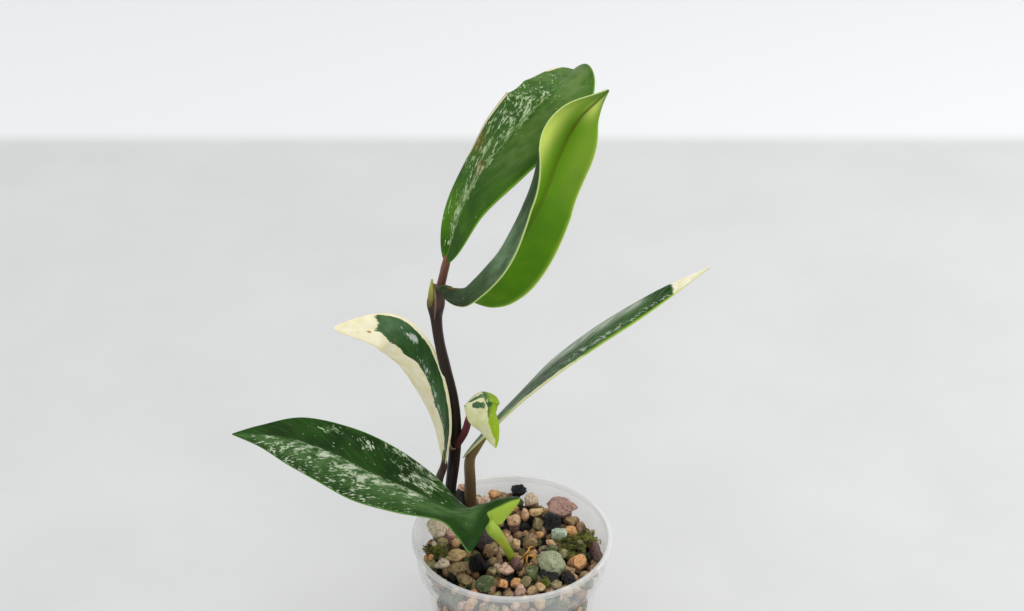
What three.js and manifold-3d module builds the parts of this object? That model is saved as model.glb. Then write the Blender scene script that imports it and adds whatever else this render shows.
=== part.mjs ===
// A young potted Hoya pubicalyx in a clear nursery pot of stone grit.
// Millimetres, +Z up, origin at the centre of the pot's flat base, -Y towards the viewer.
import * as THREE from "three";
import { mergeVertices } from "three/addons/utils/BufferGeometryUtils.js";
import Module from "manifold-3d";

const wasm = await Module();
wasm.setup();

// Driving dimensions of the pot
const POT_HEIGHT = 80;
const RIM_RADIUS = 45;
const COLLAR_RADIUS = 42.4;
const COLLAR_HEIGHT = 16;
const SHOULDER_STEP = 3.4;
const SHOULDER_DROP = 4;
const BASE_RADIUS = 31.5;
const WALL = 1.1;
const LIP_HEIGHT = 2.6;
const FOOT_HEIGHT = 1.4;
const DRAIN_COUNT = 6;
const DRAIN_RADIUS = 2.6;
const DRAIN_CIRCLE = 20;
const POT_SIDES = 48;

// Driving dimensions of the grit
const GRIT_LEVEL = 68;
const GRIT_CROWN = 1.5;
const GRIT_EDGE = 40.6;
const GRIT_SLOPE = 0.08;
const MOUND_PLACE = [-22, 25];
const MOUND_RADII = [17, 13.5, 9];
const MOUND_RISE = 7;
const SEAT_GAP = 0.35;
const PEBBLE_MIN = 3.0;
const PEBBLE_MAX = 5.2;
const PEBBLE_RISE = 1.5;
const PEBBLE_RING_STEP = 7.6;
const PEBBLE_SEED = 11;

// Driving dimensions of the blades
const BLADE_THICKNESS = 1.2;
const EDGE_THICKNESS = 0.8;
const BLADE_ROWS = 20;
const BLADE_COLUMNS = 10;
const FIRST_ROW = 0.006;
const LAST_ROW = 0.994;

// Each leaf has a midrib (spine) from its base to its tip and a side to the left and right of it.
// half is the widest half-width; base and tip say how fast the outline narrows there.
// tilt turns the blade about the midrib away from facing, fold is the angle at which a side leaves
// the midrib and curl how much further it bends by its margin, all in degrees, listed base to tip.
// The lobed leaf gives its two margins as points instead, with the bow of each side in millimetres.
const LEAVES = {
  leaf_lower_left: {
    spine: [
      [-9, -19, 100],
      [-11, -17, 106],
      [-17, -15, 104.5],
      [-26.5, -10, 101],
      [-42.5, -4.5, 107],
      [-62, 6, 109.5],
      [-80, 17.5, 112],
      [-98, 25.5, 113.5],
      [-113, 28, 114.5],
      [-126, 25, 117.3],
    ],
    left: {
      margin: [
        [-14.5, -20.5, 104],
        [-18, -31, 94.5],
        [-24, -28.5, 101],
        [-31.5, -23, 105.5],
        [-50.5, -21, 108.5],
        [-70.5, -7, 104.5],
        [-87.5, 6.8, 105],
        [-101, 15, 108],
        [-113, 21, 113],
        [-126, 25, 117.3],
      ],
      bow: [0, 1.5, 1.5, 1, 0.5, 0.5, 0.5, 0.5, 0.3, 0],
    },
    right: {
      margin: [
        [-5, -18, 99],
        [3.5, -6, 105],
        [-10.5, -5, 101],
        [-20, -1, 96],
        [-35, 12.5, 104],
        [-52.5, 21, 113],
        [-71.5, 30, 117],
        [-94.5, 37.5, 117.5],
        [-113.5, 33.5, 116],
        [-126, 25, 117.3],
      ],
      bow: [0, 2, 1, 0.5, 0.5, 0.5, 0.5, 0.3, 0.3, 0],
    },
    rows: 30,
    colour: "#2c5a26",
  },
  leaf_top: {
    spine: [
      [-28, 5, 221],
      [-19, 10, 249],
      [-4, 13, 273],
      [11, 20, 288],
      [20, 38, 288],
      [26, 58, 284],
    ],
    facing: [-0.2, -0.8, 0.5],
    tilt: [30, 35, 30, 25, 20, 20],
    tip: 0.55,
    left: { half: 19.6, base: 0.66, fold: [10, -10, -10, -10, 0, 30], curl: 0 },
    right: { half: 19.5, base: 0.57, fold: [15, 5, -5, -10, 0, 30], curl: 0 },
    colour: "#3f6b2c",
  },
  leaf_curled: {
    spine: [
      [-30, 8, 207],
      [-17, -6, 214],
      [-9, -14, 226],
      [1, -16, 241],
      [11, -12, 259],
      [19, -2, 277],
      [27, 2, 292],
      [39, 4, 304],
    ],
    facing: [-0.6, 0.5, 0.6],
    tilt: [40, 45, 40, 35, 35, 40, 35, 15],
    tip: 0.6,
    left: {
      half: 19.5,
      base: 0.6,
      fold: [-5, -5, -5, 0, 5, 0, 5, 10],
      curl: [-25, -25, -25, -15, -10, -5, 0, 15],
    },
    right: {
      half: 20,
      base: 0.6,
      fold: [15, 15, 15, 15, 20, 20, 15, -5],
      curl: [-140, -155, -160, -145, -120, -85, -40, -5],
    },
    rows: 24,
    columns: 14,
    colour: "#5d8c1f",
  },
  leaf_cream: {
    spine: [
      [-30, 15, 107],
      [-31, 18, 127],
      [-36, 19, 147],
      [-44, 20, 165],
      [-56, 19, 177],
      [-78, 20, 178],
    ],
    facing: [-0.2, -0.7, 0.6],
    tilt: [45, 40, 35, 25, 10, 0],
    tip: 0.8,
    left: { half: 11.5, base: 0.78, fold: [0, -5, -5, -5, 0, 5], curl: 0 },
    right: { half: 11.5, base: 0.78, fold: [15, 10, 5, 0, -10, -15], curl: 0 },
    colour: "#e6dcae",
  },
  leaf_right: {
    spine: [
      [-22, 24, 105],
      [-5, 19, 131],
      [13, 14, 156],
      [34, 10, 178],
      [58, 8, 198],
      [84, 10, 216],
    ],
    facing: [0, 0.1, 0.99],
    tilt: [-5, -5, -5, -5, -10, -10],
    tip: 1.05,
    left: { half: 13, base: 0.6, fold: [5, 0, 0, 0, 0, 10], curl: 0 },
    right: { half: 13, base: 0.6, fold: [5, 0, 0, 0, 0, 0], curl: 0 },
    colour: "#34582f",
  },
  leaf_small: {
    spine: [
      [-13, 3, 156],
      [-12, -5, 157],
      [-11, -8, 150],
      [-9, -7, 142],
      [-7, -8, 134],
    ],
    facing: [-0.1, -0.7, 0.7],
    tilt: [10, 15, 15, 5, 0],
    tip: 0.8,
    left: {
      half: 8.5,
      base: 0.4,
      fold: [-10, -20, -25, -25, -25],
      curl: [-20, -25, -30, -30, -30],
    },
    right: {
      half: 9,
      base: 0.4,
      fold: [-5, -10, -15, -20, -25],
      curl: [-15, -20, -20, -30, -30],
    },
    rows: 12,
    columns: 8,
    colour: "#b9c98a",
  },
};

// Each stalk is a round stem through its points, with a radius at each of them.
const STALKS = {
  main_stem: {
    path: [
      [-26, 18.5, 54],
      [-28, 20, 72],
      [-28, 20, 88],
      [-26, 19, 108],
      [-25, 18, 125],
      [-26, 17, 142],
      [-29, 15, 160],
      [-31.5, 13, 176],
      [-32.5, 12, 188],
      [-32.5, 11, 197],
      [-31.5, 10, 205],
    ],
    radius: [2.5, 2.5, 2.5, 2.7, 2.6, 2.5, 2.5, 2.3, 2.6, 3.9, 2.7],
    sides: 12,
    steps: 26,
  },
  lower_left_petiole: {
    path: [
      [1, -4, 52],
      [1, -5, 66],
      [-1, -9, 76],
      [-4.5, -14.5, 88],
      [-8.5, -18.5, 97.5],
      [-10, -18.5, 102],
    ],
    radius: [2, 2, 2.3, 2.5, 2.6, 1.4],
  },
  top_petiole: {
    path: [
      [-31, 10, 206],
      [-29, 8, 213],
      [-27.5, 5.5, 221],
      [-25, 10, 228],
    ],
    radius: [1.9, 1.8, 1.7, 0.8],
  },
  curled_petiole: {
    path: [
      [-32.5, 11, 202],
      [-30.5, 8.5, 206],
      [-25.5, 2.5, 210],
    ],
    radius: [1.8, 1.8, 0.9],
  },
  cream_petiole: {
    path: [
      [-30, 14, 56],
      [-33.5, 16, 80],
      [-33, 16, 97],
      [-30.5, 15, 107],
      [-30.3, 16, 115],
    ],
    radius: [1.9, 1.9, 1.9, 1.6, 0.8],
  },
  right_petiole: {
    path: [
      [-17, 27, 54],
      [-19, 28, 72],
      [-19, 26, 90],
      [-19, 25, 103],
      [-16, 23, 111],
      [-9, 20.5, 124],
    ],
    radius: [3, 2.9, 2.6, 2.4, 1.9, 0.9],
    sides: 10,
  },
  small_petiole: {
    path: [
      [-25, 18, 116],
      [-21, 13, 127],
      [-19, 9, 137],
      [-16, 6, 149],
      [-13, 2, 156],
    ],
    radius: [1.8, 1.7, 1.6, 1.4, 0.9],
  },
  stem_bud: {
    path: [
      [-34.5, 9, 198],
      [-34.4, 6.6, 204],
      [-33.8, 6.6, 212],
    ],
    radius: [1.3, 1.5, 0.4],
  },
};

const STALK_SIDES = 8;
const STALK_STEPS = 12;

const DEGREES = Math.PI / 180;

// A repeatable stream of draws between 0 and 1.
function seededDraws(seed) {
  let state = seed;
  return () => {
    state = (state * 16807) % 2147483647;
    return state / 2147483647;
  };
}

// The value at t, from 0 to 1, of an even Catmull-Rom curve through a list of numbers.
function numberAt(list, t) {
  if (typeof list === "number") return list;
  const last = list.length - 1;
  const place = Math.min(Math.max(t, 0), 1) * last;
  const i = Math.min(Math.floor(place), last - 1);
  const f = place - i;
  const b = list[i];
  const c = list[i + 1];
  const a = i > 0 ? list[i - 1] : 2 * b - c;
  const d = i + 2 <= last ? list[i + 2] : 2 * c - b;
  const linear = (c - a) * f;
  const square = (2 * a - 5 * b + 4 * c - d) * f * f;
  const cube = (3 * b - a - 3 * c + d) * f * f * f;
  return 0.5 * (2 * b + linear + square + cube);
}

function pointAt(points, t) {
  const [x, y, z] = [0, 1, 2].map((k) => numberAt(points.map((p) => p[k]), t));
  return new THREE.Vector3(x, y, z);
}

function directionAt(points, t) {
  const step = 1e-3;
  const ahead = pointAt(points, Math.min(t + step, 1));
  return ahead.sub(pointAt(points, Math.max(t - step, 0))).normalize();
}

// The outline's half-width as a share of its widest, for t from the base to the tip.
function outlineShare(t, base, tip) {
  const widest = base / (base + tip);
  const peak = widest ** base * (1 - widest) ** tip;
  return (t ** base * (1 - t) ** tip) / peak;
}

// A point of a blade that is spread between its midrib and its margins, each side bowed upwards.
function spreadPoint(leaf, t, s) {
  const side = s < 0 ? leaf.left : leaf.right;
  const share = Math.abs(s);
  const centre = pointAt(leaf.spine, t);
  const width = pointAt(leaf.right.margin, t).sub(pointAt(leaf.left.margin, t));
  const up = width.cross(directionAt(leaf.spine, t)).normalize();
  const toMargin = pointAt(side.margin, t).sub(centre);
  const bow = 4 * numberAt(side.bow, t) * share * (1 - share);
  return centre.addScaledVector(toMargin, share).addScaledVector(up, bow);
}

// A point of the blade's middle surface, s from -1 at the left margin to 1 at the right one.
function bladePoint(leaf, t, s) {
  if (leaf.left.margin) return spreadPoint(leaf, t, s);
  const side = s < 0 ? leaf.left : leaf.right;
  const share = Math.abs(s);
  const forward = directionAt(leaf.spine, t);
  const flatRight = forward.clone().cross(new THREE.Vector3(...leaf.facing)).normalize();
  const flatUp = flatRight.clone().cross(forward);
  const tilt = numberAt(leaf.tilt, t) * DEGREES;
  const right = flatRight.clone().multiplyScalar(Math.cos(tilt)).addScaledVector(flatUp, Math.sin(tilt));
  const up = flatUp.clone().multiplyScalar(Math.cos(tilt)).addScaledVector(flatRight, -Math.sin(tilt));
  const fold = numberAt(side.fold, t) * DEGREES;
  const curl = numberAt(side.curl, t) * DEGREES || 1e-4;
  const halfWidth = side.half * outlineShare(t, side.base, leaf.tip);
  const across = ((Math.sin(fold + curl * share) - Math.sin(fold)) / curl) * halfWidth;
  const rise = ((Math.cos(fold) - Math.cos(fold + curl * share)) / curl) * halfWidth;
  return pointAt(leaf.spine, t)
    .addScaledVector(right, Math.sign(s) * across)
    .addScaledVector(up, rise);
}

// The direction that the upper face looks in at a point of the blade.
function bladeNormal(leaf, t, s) {
  const step = 2e-3;
  const t0 = Math.max(t - step, FIRST_ROW / 2);
  const t1 = Math.min(t + step, 1 - FIRST_ROW / 2);
  const s0 = Math.max(s - 0.05, -1);
  const s1 = Math.min(s + 0.05, 1);
  const along = bladePoint(leaf, t1, s).sub(bladePoint(leaf, t0, s));
  const across = bladePoint(leaf, t, s1).sub(bladePoint(leaf, t, s0));
  return across.cross(along).normalize();
}

// The blade as a closed thin body: the upper and lower faces share their rows and diagonals.
function bladeGeometry(leaf) {
  const rows = leaf.rows ?? BLADE_ROWS;
  const columns = leaf.columns ?? BLADE_COLUMNS;
  const positions = [];
  const indices = [];
  const wide = columns + 1;
  const faceSize = (rows + 1) * wide;
  for (const face of [1, -1]) {
    for (let i = 0; i <= rows; i++) {
      const t = FIRST_ROW + (LAST_ROW - FIRST_ROW) * (i / rows);
      for (let j = 0; j <= columns; j++) {
        const s = (2 * j) / columns - 1;
        const thickness = BLADE_THICKNESS + (EDGE_THICKNESS - BLADE_THICKNESS) * s * s;
        const offset = (face * thickness) / 2;
        const p = bladePoint(leaf, t, s).addScaledVector(bladeNormal(leaf, t, s), offset);
        positions.push(p.x, p.y, p.z);
      }
    }
  }
  const quad = (a, b, c, d) => indices.push(a, b, c, a, c, d);
  for (let i = 0; i < rows; i++) {
    for (let j = 0; j < columns; j++) {
      const a = i * wide + j;
      quad(a, a + 1, a + 1 + wide, a + wide);
      const b = a + faceSize;
      indices.push(b, b + 1 + wide, b + 1, b, b + wide, b + 1 + wide);
    }
    const left = i * wide;
    const right = left + columns;
    quad(left, left + wide, left + wide + faceSize, left + faceSize);
    quad(right, right + faceSize, right + wide + faceSize, right + wide);
  }
  for (let j = 0; j < columns; j++) {
    const end = rows * wide + j;
    quad(j, j + faceSize, j + 1 + faceSize, j + 1);
    quad(end, end + 1, end + 1 + faceSize, end + faceSize);
  }
  return indexedGeometry(positions, indices);
}

function indexedGeometry(positions, indices) {
  const geometry = new THREE.BufferGeometry();
  geometry.setAttribute("position", new THREE.Float32BufferAttribute(positions, 3));
  geometry.setIndex(indices);
  return geometry;
}

// A round stalk through its points, made wider all round by extra.
function stalkGeometry(stalk, extra = 0) {
  const sides = stalk.sides ?? STALK_SIDES;
  const steps = stalk.steps ?? STALK_STEPS;
  const positions = [];
  const indices = [];
  let reference = new THREE.Vector3(0, 1, 0);
  for (let i = 0; i <= steps; i++) {
    const t = i / steps;
    const centre = pointAt(stalk.path, t);
    const forward = directionAt(stalk.path, t);
    const side = reference.clone().cross(forward).normalize();
    const other = forward.clone().cross(side);
    reference = other;
    const radius = numberAt(stalk.radius, t) + extra;
    for (let j = 0; j < sides; j++) {
      const angle = (2 * Math.PI * j) / sides;
      const p = centre.clone().addScaledVector(side, radius * Math.cos(angle));
      p.addScaledVector(other, radius * Math.sin(angle));
      positions.push(p.x, p.y, p.z);
    }
  }
  for (let i = 0; i < steps; i++) {
    for (let j = 0; j < sides; j++) {
      const a = i * sides + j;
      const b = i * sides + ((j + 1) % sides);
      indices.push(a, b, a + sides, b, b + sides, a + sides);
    }
  }
  const lastRing = steps * sides;
  for (let j = 1; j + 1 < sides; j++) {
    indices.push(0, j + 1, j);
    indices.push(lastRing, lastRing + j, lastRing + j + 1);
  }
  return indexedGeometry(positions, indices);
}

function solidOf(geometry) {
  const plain = geometry.clone();
  plain.deleteAttribute("normal");
  plain.deleteAttribute("uv");
  const merged = mergeVertices(plain, 1e-4);
  const mesh = new wasm.Mesh({
    numProp: 3,
    vertProperties: new Float32Array(merged.attributes.position.array),
    triVerts: new Uint32Array(merged.index.array),
  });
  return new wasm.Manifold(mesh);
}

function meshOf(name, solid, colour, roughness) {
  const data = solid.getMesh();
  const positions = [];
  for (let i = 0; i < data.numVert; i++) {
    positions.push(...data.vertProperties.subarray(i * data.numProp, i * data.numProp + 3));
  }
  const geometry = indexedGeometry(positions, [...data.triVerts]);
  geometry.computeVertexNormals();
  const material = new THREE.MeshStandardMaterial({ color: colour, roughness, metalness: 0 });
  const mesh = new THREE.Mesh(geometry, material);
  mesh.name = name;
  return mesh;
}

function uprightLathe(profile, sides) {
  const points = profile.map(([radius, z]) => new THREE.Vector2(radius, z));
  return new THREE.LatheGeometry(points, sides).rotateX(Math.PI / 2);
}

// The pot: a thin tapered cup with a stepped collar and a rolled lip, open at the top.
const collarFoot = POT_HEIGHT - COLLAR_HEIGHT;
const shoulderFoot = collarFoot - SHOULDER_DROP;
const bodyRadius = COLLAR_RADIUS - SHOULDER_STEP;
const lipFoot = POT_HEIGHT - LIP_HEIGHT;

function potSolid() {
  const cup = uprightLathe(
    [
      [0, 0],
      [BASE_RADIUS - 1, 0],
      [BASE_RADIUS, FOOT_HEIGHT],
      [bodyRadius, shoulderFoot],
      [COLLAR_RADIUS, collarFoot],
      [RIM_RADIUS - WALL, lipFoot],
      [RIM_RADIUS, lipFoot + 0.4],
      [RIM_RADIUS, POT_HEIGHT - 0.6],
      [RIM_RADIUS - 0.6, POT_HEIGHT],
      [RIM_RADIUS - WALL - 0.6, POT_HEIGHT],
      [RIM_RADIUS - 2 * WALL, lipFoot],
      [COLLAR_RADIUS - WALL, collarFoot + 0.5],
      [bodyRadius - WALL, shoulderFoot + 0.5],
      [BASE_RADIUS - WALL, FOOT_HEIGHT + WALL],
      [0, FOOT_HEIGHT + WALL],
      [0, 0],
    ],
    POT_SIDES,
  );
  let solid = solidOf(cup);
  for (let k = 0; k < DRAIN_COUNT; k++) {
    const angle = (2 * Math.PI * k) / DRAIN_COUNT;
    const drain = new THREE.CylinderGeometry(DRAIN_RADIUS, DRAIN_RADIUS, 4 * FOOT_HEIGHT, 10);
    drain.rotateX(Math.PI / 2);
    drain.translate(DRAIN_CIRCLE * Math.cos(angle), DRAIN_CIRCLE * Math.sin(angle), FOOT_HEIGHT);
    solid = solid.subtract(solidOf(drain));
  }
  return solid;
}

// One pebble: a rough little stone of twenty faces, its corners pushed in and out by a draw.
function pebbleGeometry(radius, draw) {
  const stone = new THREE.IcosahedronGeometry(radius, 0);
  stone.deleteAttribute("normal");
  stone.deleteAttribute("uv");
  const merged = mergeVertices(stone, 1e-4);
  const position = merged.attributes.position;
  for (let i = 0; i < position.count; i++) {
    const push = 0.82 + 0.3 * draw();
    position.setXYZ(i, position.getX(i) * push, position.getY(i) * push, position.getZ(i) * push * 0.85);
  }
  merged.rotateZ(2 * Math.PI * draw());
  return merged;
}

// The height of the grit: a slope up to the back and a mound behind the stems.
function gritHeight(x, y) {
  const dx = (x - MOUND_PLACE[0]) / MOUND_RADII[0];
  const dy = (y - MOUND_PLACE[1]) / MOUND_RADII[1];
  return GRIT_LEVEL + GRIT_SLOPE * Math.max(y, 0) + MOUND_RISE * Math.exp(-2 * (dx * dx + dy * dy));
}

// The mound is the upper part of a flattened ball, kept inside the pot's wall.
function moundSolid() {
  const ball = new THREE.SphereGeometry(1, 18, 12).rotateX(Math.PI / 2).scale(...MOUND_RADII);
  ball.translate(...MOUND_PLACE, GRIT_LEVEL);
  const wall = new THREE.CylinderGeometry(GRIT_EDGE, GRIT_EDGE, POT_HEIGHT, 32);
  wall.rotateX(Math.PI / 2).translate(0, 0, GRIT_LEVEL - 1 + POT_HEIGHT / 2);
  return solidOf(ball).intersect(solidOf(wall));
}

// The grit fills the pot, and pebbles stand out of its crown in rings that are shifted by a draw.
function gritSolid() {
  const gap = SEAT_GAP;
  const floor = FOOT_HEIGHT + WALL + gap;
  const fill = uprightLathe(
    [
      [0, floor],
      [BASE_RADIUS - WALL - gap - 0.2, floor],
      [bodyRadius - WALL - gap, shoulderFoot + 0.4],
      [GRIT_EDGE, collarFoot],
      [GRIT_EDGE, GRIT_LEVEL - 1],
      [GRIT_EDGE - 2, GRIT_LEVEL],
      [0, GRIT_LEVEL + GRIT_CROWN],
    ],
    32,
  );
  let solid = solidOf(fill).add(moundSolid());
  const draw = seededDraws(PEBBLE_SEED);
  for (let ring = GRIT_EDGE - PEBBLE_MAX; ring > 0; ring -= PEBBLE_RING_STEP) {
    const count = Math.max(1, Math.round((2 * Math.PI * ring) / PEBBLE_RING_STEP));
    for (let k = 0; k < count; k++) {
      const radius = PEBBLE_MIN + (PEBBLE_MAX - PEBBLE_MIN) * draw();
      const angle = (2 * Math.PI * (k + 0.5 * draw())) / count;
      const reach = Math.min(ring + 1.5 * (draw() - 0.5), GRIT_EDGE - radius);
      const stone = pebbleGeometry(radius, draw);
      const [x, y] = [reach * Math.cos(angle), reach * Math.sin(angle)];
      stone.translate(x, y, gritHeight(x, y) + PEBBLE_RISE * draw());
      solid = solid.add(solidOf(stone));
    }
  }
  return solid;
}

function stalkSolid(name, extra = 0) {
  return solidOf(stalkGeometry(STALKS[name], extra));
}

// Takes a slightly fatter copy of each named stalk out of a solid, so that it seats on it with a gap.
function clearOf(solid, ...names) {
  return names.reduce((rest, name) => rest.subtract(stalkSolid(name, SEAT_GAP)), solid);
}

// The largest connected body of a solid, without the slivers that a cut can leave.
function mainBody(solid) {
  return solid.decompose().reduce((best, body) => (body.volume() > best.volume() ? body : best));
}

function leafSolid(name, petiole) {
  return solidOf(bladeGeometry(LEAVES[name])).add(stalkSolid(petiole));
}

const grit = mainBody(
  clearOf(gritSolid(), "main_stem", "lower_left_petiole", "cream_petiole", "right_petiole"),
);

const plant = new THREE.Group();
plant.add(
  meshOf("pot", potSolid(), "#e9ebe8", 0.25),
  meshOf("grit", grit, "#8d6f52", 0.95),
  meshOf("main_stem", stalkSolid("main_stem"), "#3a2623", 0.6),
  meshOf("stem_bud", mainBody(clearOf(stalkSolid("stem_bud"), "main_stem")), "#a9a24a", 0.6),
);

// Which stalk each leaf hangs on, and which stalks it must stay clear of.
const JOINED = {
  leaf_lower_left: ["lower_left_petiole"],
  leaf_top: ["top_petiole", "main_stem", "stem_bud"],
  leaf_curled: ["curled_petiole", "main_stem", "top_petiole", "stem_bud"],
  leaf_cream: ["cream_petiole", "main_stem"],
  leaf_right: ["right_petiole", "main_stem"],
  leaf_small: ["small_petiole", "main_stem"],
};

for (const [name, [petiole, ...neighbours]] of Object.entries(JOINED)) {
  const solid = mainBody(clearOf(leafSolid(name, petiole), ...neighbours));
  plant.add(meshOf(name, solid, LEAVES[name].colour, 0.45));
}

export default plant;
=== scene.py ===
# The looks of a young Hoya pubicalyx in a clear nursery pot of stone grit.
# Metres, +Z up, -Y towards the viewer. Sizes given in millimetres are scaled by MM.
import math

import bpy
import numpy as np
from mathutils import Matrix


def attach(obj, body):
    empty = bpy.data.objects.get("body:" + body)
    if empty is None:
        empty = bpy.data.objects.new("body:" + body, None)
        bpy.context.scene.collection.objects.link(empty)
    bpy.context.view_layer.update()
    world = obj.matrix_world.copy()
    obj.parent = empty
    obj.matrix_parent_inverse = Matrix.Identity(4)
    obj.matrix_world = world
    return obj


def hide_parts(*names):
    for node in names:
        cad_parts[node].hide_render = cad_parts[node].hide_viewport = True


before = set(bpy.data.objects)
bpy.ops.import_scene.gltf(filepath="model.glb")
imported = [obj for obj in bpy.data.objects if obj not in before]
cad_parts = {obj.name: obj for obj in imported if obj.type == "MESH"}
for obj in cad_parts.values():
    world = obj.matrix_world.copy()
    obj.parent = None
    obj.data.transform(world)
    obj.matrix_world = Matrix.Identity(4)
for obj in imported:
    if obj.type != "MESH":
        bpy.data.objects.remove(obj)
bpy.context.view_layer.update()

MM = 0.001

# Camera, as far off and as high as the photograph's
CAMERA_BACK = 0.9032
CAMERA_HEIGHT = 0.796
CAMERA_PITCH = 33.3
CAMERA_LENS = 90
CAMERA_SENSOR = 36

# Pot, in millimetres
POT_HEIGHT = 80
RIM_RADIUS = 45
COLLAR_RADIUS = 42.4
COLLAR_FOOT = 64
SHOULDER_FOOT = 60
BODY_RADIUS = 39
BASE_RADIUS = 31.5
WALL = 1.1
INNER_LIFT = 0.5
AXIS_GAP = 0.5
FOOT_HEIGHT = 1.4
LIP_FOOT = 77.4
LIP_BEND = 0.3
LIP_WIDTH = 2
POT_CORNER = 0.7
DRAIN_COUNT = 6
DRAIN_RADIUS = 2.6
DRAIN_CIRCLE = 20
POT_SIDES = 160

# Grit, in millimetres
GRIT_LEVEL = 69.5
GRIT_EDGE = 41.4
GRIT_SLOPE = 0.08
MOUND_HEIGHT = 3.5
MOUND_PLACE = (-23, 31)
MOUND_SPREAD = 13
BED_DEPTH = 4.6
BED_GAP = 2.9
ALGAE_TOP = 62

# Stones, in millimetres: the listed ones, small ones over the crown and some by the wall
LISTED_SCALE = 1.22
LISTED_LIFT = 0.5
CROWN_SPACING = 5.2
WALL_SPACING = 6.2
WALL_ROW = 5.4
LISTED_GRID = (34, 42)
CROWN_GRID = (8, 11)
WALL_GRID = (7, 9)
CHIP_SHARPNESS = 36
BRIGHTEST = 0.85
STONE_SEED = 5
MOSS_SEED = 9
LEAFLETS = 7

# Blades, in millimetres and degrees
BLADE_THICKNESS = 1.1
BLADE_ROWS = 150
BLADE_COLUMNS = 56
FIRST_ROW = 0.004
LAST_ROW = 0.996
NO_CURL = (0, 0)
VEIN_SLANT = 20
MARGIN_POWER = 10
RIB_SPREAD = 0.8
RIB_LINE = 0.5
RIB_HEIGHT = 0.45
GROOVE_DEPTH = 0.3
SWELL_HEIGHT = 0.07
SWELL_LENGTH = 4.5

# Room, in metres
FLOOR_HALF = 6
BACKDROP_AT = 0.5

# Each leaf has a midrib from its base to its tip and a side to the left and right of it.
# half is the widest half-width; base and tip say how fast the outline narrows there.
# tilt turns the blade about the midrib away from facing, fold is the angle at which a side
# leaves the midrib and curl how much further it bends by its margin, in degrees.
# The lobed leaf gives its two margins as points instead, with each side's bow in millimetres.
LEAVES = {
    "leaf_lower_left": dict(
        spine=[
            (-9, -19, 100), (-11, -17, 106), (-17, -15, 104.5), (-26.5, -10, 101),
            (-42.5, -4.5, 107), (-62, 6, 109.5), (-80, 17.5, 112), (-98, 25.5, 113.5),
            (-113, 28, 114.5), (-126, 25, 117.3),
        ],
        left=dict(
            margin=[
                (-14.5, -20.5, 104), (-18, -31, 94.5), (-24, -28.5, 101), (-31.5, -23, 105.5),
                (-50.5, -21, 108.5), (-70.5, -7, 104.5), (-87.5, 6.8, 105), (-101, 15, 108),
                (-113, 21, 113), (-126, 25, 117.3),
            ],
            bow=[0, 1.5, 1.5, 1, 0.5, 0.5, 0.5, 0.5, 0.3, 0],
        ),
        right=dict(
            margin=[
                (-5, -18, 99), (3.5, -6, 105), (-10.5, -5, 101), (-20, -1, 96),
                (-35, 12.5, 104), (-52.5, 21, 113), (-71.5, 30, 117), (-94.5, 37.5, 117.5),
                (-113.5, 33.5, 116), (-126, 25, 117.3),
            ],
            bow=[0, 2, 1, 0.5, 0.5, 0.5, 0.5, 0.3, 0.3, 0],
        ),
    ),
    "leaf_top": dict(
        spine=[
            (-28, 5, 221), (-19, 10, 249), (-4, 13, 273),
            (11, 20, 288), (20, 38, 288), (26, 58, 284),
        ],
        facing=(-0.2, -0.8, 0.5),
        tilt=[30, 35, 30, 25, 20, 20],
        tip=0.55,
        left=dict(half=19.6, base=0.66, fold=[10, -10, -10, -10, 0, 30]),
        right=dict(half=19.5, base=0.57, fold=[15, 5, -5, -10, 0, 30]),
    ),
    "leaf_curled": dict(
        spine=[
            (-30, 8, 207), (-17, -6, 214), (-9, -14, 226), (1, -16, 241),
            (11, -12, 259), (19, -2, 277), (27, 2, 292), (39, 4, 304),
        ],
        facing=(-0.6, 0.5, 0.6),
        tilt=[40, 45, 40, 35, 35, 40, 35, 15],
        tip=0.6,
        left=dict(
            half=19.5, base=0.6,
            fold=[-5, -5, -5, 0, 5, 0, 5, 10],
            curl=[-25, -25, -25, -15, -10, -5, 0, 15],
        ),
        right=dict(
            half=20, base=0.6,
            fold=[15, 15, 15, 15, 20, 20, 15, -5],
            curl=[-140, -155, -160, -145, -120, -85, -40, -5],
        ),
    ),
    "leaf_cream": dict(
        spine=[
            (-30, 15, 107), (-31, 18, 127), (-36, 19, 147),
            (-44, 20, 165), (-56, 19, 177), (-78, 20, 178),
        ],
        facing=(-0.2, -0.7, 0.6),
        tilt=[45, 40, 35, 25, 10, 0],
        tip=0.8,
        left=dict(half=11.5, base=0.78, fold=[0, -5, -5, -5, 0, 5]),
        right=dict(half=11.5, base=0.78, fold=[15, 10, 5, 0, -10, -15]),
    ),
    "leaf_right": dict(
        spine=[
            (-22, 24, 105), (-5, 19, 131), (13, 14, 156),
            (34, 10, 178), (58, 8, 198), (84, 10, 216),
        ],
        facing=(0, 0.1, 0.99),
        tilt=[-5, -5, -5, -5, -10, -10],
        tip=1.05,
        left=dict(half=13, base=0.6, fold=[5, 0, 0, 0, 0, 10]),
        right=dict(half=13, base=0.6, fold=[5, 0, 0, 0, 0, 0]),
    ),
    "leaf_small": dict(
        spine=[(-13, 3, 156), (-12, -5, 157), (-11, -8, 150), (-9, -7, 142), (-7, -8, 134)],
        facing=(-0.1, -0.7, 0.7),
        tilt=[10, 15, 15, 5, 0],
        tip=0.8,
        left=dict(
            half=8.5, base=0.4,
            fold=[-10, -20, -25, -25, -25],
            curl=[-20, -25, -30, -30, -30],
        ),
        right=dict(
            half=9, base=0.4,
            fold=[-5, -10, -15, -20, -25],
            curl=[-15, -20, -20, -30, -30],
        ),
    ),
}

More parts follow.
